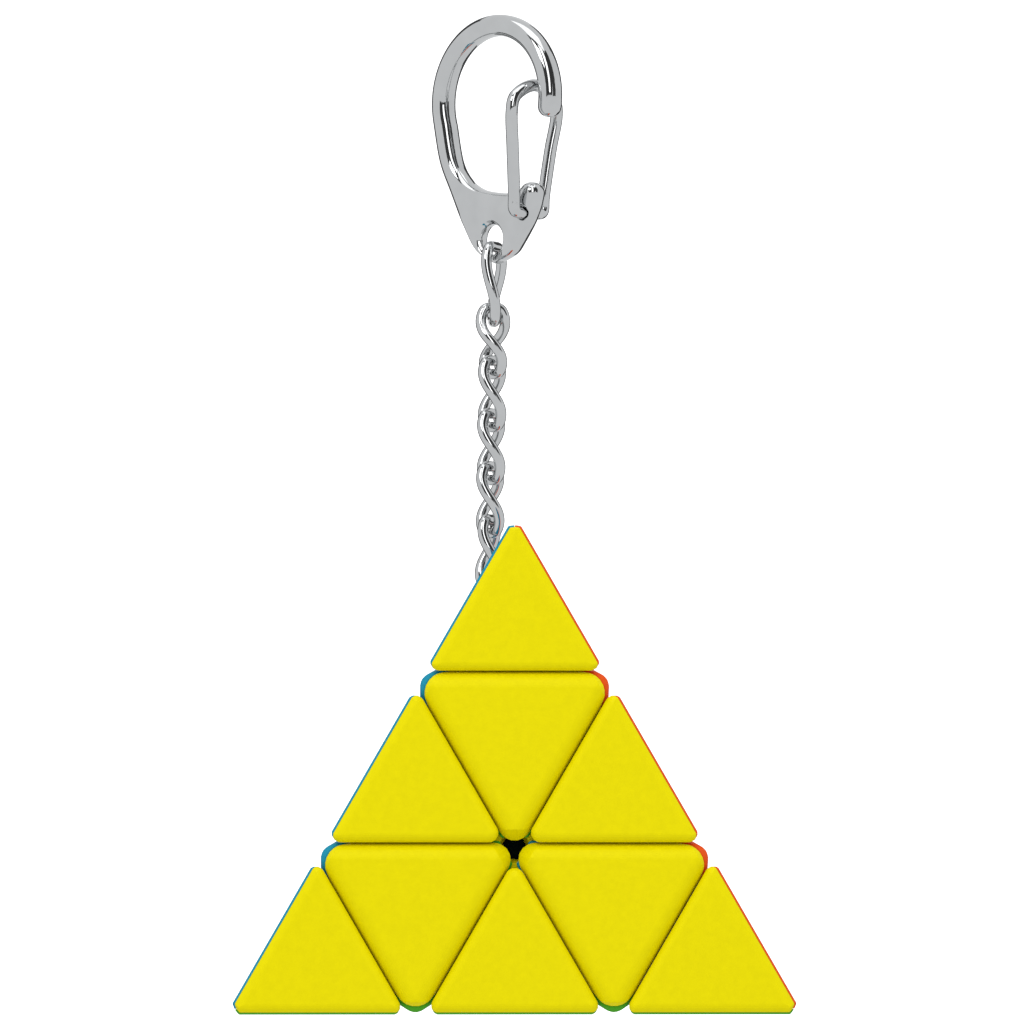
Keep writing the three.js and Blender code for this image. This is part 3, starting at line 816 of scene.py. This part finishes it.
def gate_points():
    """The gate wire's middle line: from the pivot up one side, over the top and down the other."""
    x, y = PIVOT["x"], PIVOT["y"]
    foot, head, top_x, top_y = GATE["foot"], GATE["head"], GATE["top_x"], GATE["top_y"]
    side = [
        (x, y, 0.35),
        (x, y, 1.2),
        (x + 0.03, y + 0.3, foot),
        (x + 0.1, y + 2, foot + 0.12),
        (x + 0.45, y + 6.5, foot + 0.7),
        (top_x - 0.12, top_y - 2.9, head),
        (top_x - 0.04, top_y - 1.1, head - 0.6),
    ]
    mirrored = [(a, b, -c) for a, b, c in reversed(side)]
    return spline([Vector(p) for p in [*side, (top_x, top_y, 0), *mirrored]], steps=10)


def make_gate():
    made = tube(gate_points(), GATE["wire"] / 2, WIRE_SIDES, closed=False)
    made.data.transform(CLASP_PLACE)
    finish_piece(made, "clasp_gate", "wire", "gate", "chrome", crease=60)


# ---- Eye pin ---------------------------------------------------------------------------------------
def make_eye_pin():
    last_wire = LINK["first_centre"] - 4 * LINK["pitch"] - LINK["half_length"]
    drop = EYE["radius"] - EYE["wire"] - WIRE / 2 - EYE["slack"]
    around = [2 * math.pi * n / EYE["steps"] for n in range(EYE["steps"])]
    circle = [(EYE_SIDE * math.cos(a) + UP * math.sin(a)) * EYE["radius"] for a in around]
    ring = tube(circle, EYE["wire"], EYE["sides"], closed=True)
    cut(ring, rod(EYE["shank"], EYE["radius"], EYE["length"], EYE_AIM), "UNION")
    ring.data.transform(Matrix.Translation(chain_point(last_wire - drop)))
    finish_piece(ring, "eye_pin", "wire", "tip_top", "steel", crease=50)


# ---- Assembly ---------------------------------------------------------------------------------------
def make_puzzle():
    for corner in CORNER:
        make_tip(corner)
        make_axial_body(corner)
        for face in others(corner):
            make_axial_cap(corner, face)
    for pair in combinations(CORNER, 2):
        make_edge(*pair)


def colour_inner_nodes():
    """The core, screws and springs are shown as their CAD nodes."""
    for name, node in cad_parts.items():
        if name.startswith(("screw", "spring", "core")):
            node.data.materials.clear()
            # The core gets the near-black material, which is painted shade for the dark view down into the
            # holes.
            node.data.materials.append(MATERIALS["core" if name == "core_ball" else "steel"])
            node.data.shade_smooth()
            node.data.set_sharp_from_angle(angle=math.radians(30))


make_puzzle()
make_chain()
make_hook()
make_gate()
make_eye_pin()
colour_inner_nodes()

# ---- Studio, in metres --------------------------------------------------------------------------------
SWEEP = {"drop": 0.3, "front": -1.4, "back": 1.4, "bend": 0.3, "rise": 1.3, "half_width": 2.5, "steps": 12}
PAPER = {"colour": (0.93, 0.93, 0.93), "glow": 0.75}
FLAG_COLOUR = (0.06, 0.06, 0.06)
FLAG_TARGET = Vector((0.0, 0.0, -0.03))
LIGHT_TARGET = Vector((0.0, 0.0, -0.05))
WORLD = {"colour": (0.98, 0.99, 1, 1), "strength": 0.8}


def matte(name, colour, glow=0.0):
    material, tree, shader = new_material(name)
    shader.inputs["Base Color"].default_value = (*colour, 1)
    shader.inputs["Roughness"].default_value = 0.9
    shader.inputs["Specular IOR Level"].default_value = 0.1
    if glow:
        shader.inputs["Emission Color"].default_value = (*colour, 1)
        shader.inputs["Emission Strength"].default_value = glow
    return material


def make_sweep():
    """A pale floor that curves up into a backdrop, which only the camera sees."""
    floor_z = cad_box[0][2] - SWEEP["drop"]
    bend, start = SWEEP["bend"], SWEEP["back"] - SWEEP["bend"]
    profile = [(SWEEP["front"], floor_z), (start, floor_z)]
    for n in range(1, SWEEP["steps"] + 1):
        angle = n / SWEEP["steps"] * math.pi / 2
        profile.append((start + bend * math.sin(angle), floor_z + bend * (1 - math.cos(angle))))
    profile.append((SWEEP["back"], floor_z + SWEEP["rise"]))
    bm = bmesh.new()
    sides = (-SWEEP["half_width"], SWEEP["half_width"])
    rows = [[bm.verts.new((x, y, z)) for x in sides] for y, z in profile]
    for low, high in zip(rows, rows[1:]):
        bm.faces.new((low[0], low[1], high[1], high[0]))
    sweep = object_from(bm, "studio_sweep")
    sweep.data.materials.append(matte("studio paper", PAPER["colour"], PAPER["glow"]))
    sweep.data.shade_smooth()
    sweep.visible_glossy = False
    sweep.visible_diffuse = False


def add_area(name, place, size, power):
    light = bpy.data.lights.new(name, "AREA")
    light.shape = "RECTANGLE"
    light.size, light.size_y = size
    light.energy = power
    lamp = bpy.data.objects.new(name, light)
    lamp.location = place
    lamp.rotation_euler = (LIGHT_TARGET - Vector(place)).to_track_quat("-Z", "Y").to_euler()
    lamp.visible_camera = False
    bpy.context.scene.collection.objects.link(lamp)


def add_flag(name, place, size):
    """A black card that only the chrome and the gloss see, as a dark band."""
    bm = bmesh.new()
    bmesh.ops.create_grid(bm, x_segments=1, y_segments=1, size=0.5)
    flag = object_from(bm, name)
    flag.location = place
    flag.scale = (*size, 1)
    flag.rotation_euler = (Vector(place) - FLAG_TARGET).to_track_quat("Z", "Y").to_euler()
    flag.data.materials.append(matte("black card", FLAG_COLOUR))
    flag.visible_camera = False
    flag.visible_diffuse = False
    flag.visible_shadow = False


def light_world():
    world = bpy.data.worlds.new("studio")
    world.use_nodes = True
    background = world.node_tree.nodes["Background"]
    background.inputs["Color"].default_value = WORLD["colour"]
    background.inputs["Strength"].default_value = WORLD["strength"]
    bpy.context.scene.world = world
    bpy.context.scene.view_settings.view_transform = "Standard"


make_sweep()
add_area("key", (-0.35, -0.55, 0.5), (0.3, 0.3), 1.1)
add_area("overhead", (0.0, -0.1, 0.6), (0.6, 0.4), 0.7)
add_area("strip", (0.07, -0.62, 0.4), (0.24, 0.75), 1.25)
add_flag("flag_high", (0.0, -0.75, 0.5), (1.4, 1.05))
add_flag("flag_side", (0.75, -0.5, 0.5), (0.6, 1.05))
add_flag("flag_back_left", (-0.45, 0.6, 0.0), (0.5, 1.2))
add_flag("flag_back_right", (0.45, 0.6, 0.0), (0.5, 1.2))
light_world()

# ---- Camera: square on to the yellow face, from a touch below and left ---------------------------------
VIEW_HEIGHT = 103.2 * MM  # what the picture spans at the yellow face
SENSOR = 36.0
AIM = Vector((1.41, CENTRE.y - FACE, -48.96)) * MM
REACH = 0.7
AZIMUTH = math.radians(-1.0)
ELEVATION = math.radians(-2.0)


def make_camera():
    data = bpy.data.cameras.new("camera")
    data.sensor_width = SENSOR
    data.lens = SENSOR * REACH / VIEW_HEIGHT
    data.clip_start = 0.01
    camera = bpy.data.objects.new("camera", data)
    level = math.cos(ELEVATION)
    way = Vector((math.sin(AZIMUTH) * level, -math.cos(AZIMUTH) * level, math.sin(ELEVATION)))
    camera.location = AIM + way * REACH
    camera.rotation_euler = (-way).to_track_quat("-Z", "Y").to_euler()
    bpy.context.scene.collection.objects.link(camera)
    bpy.context.scene.camera = camera


make_camera()
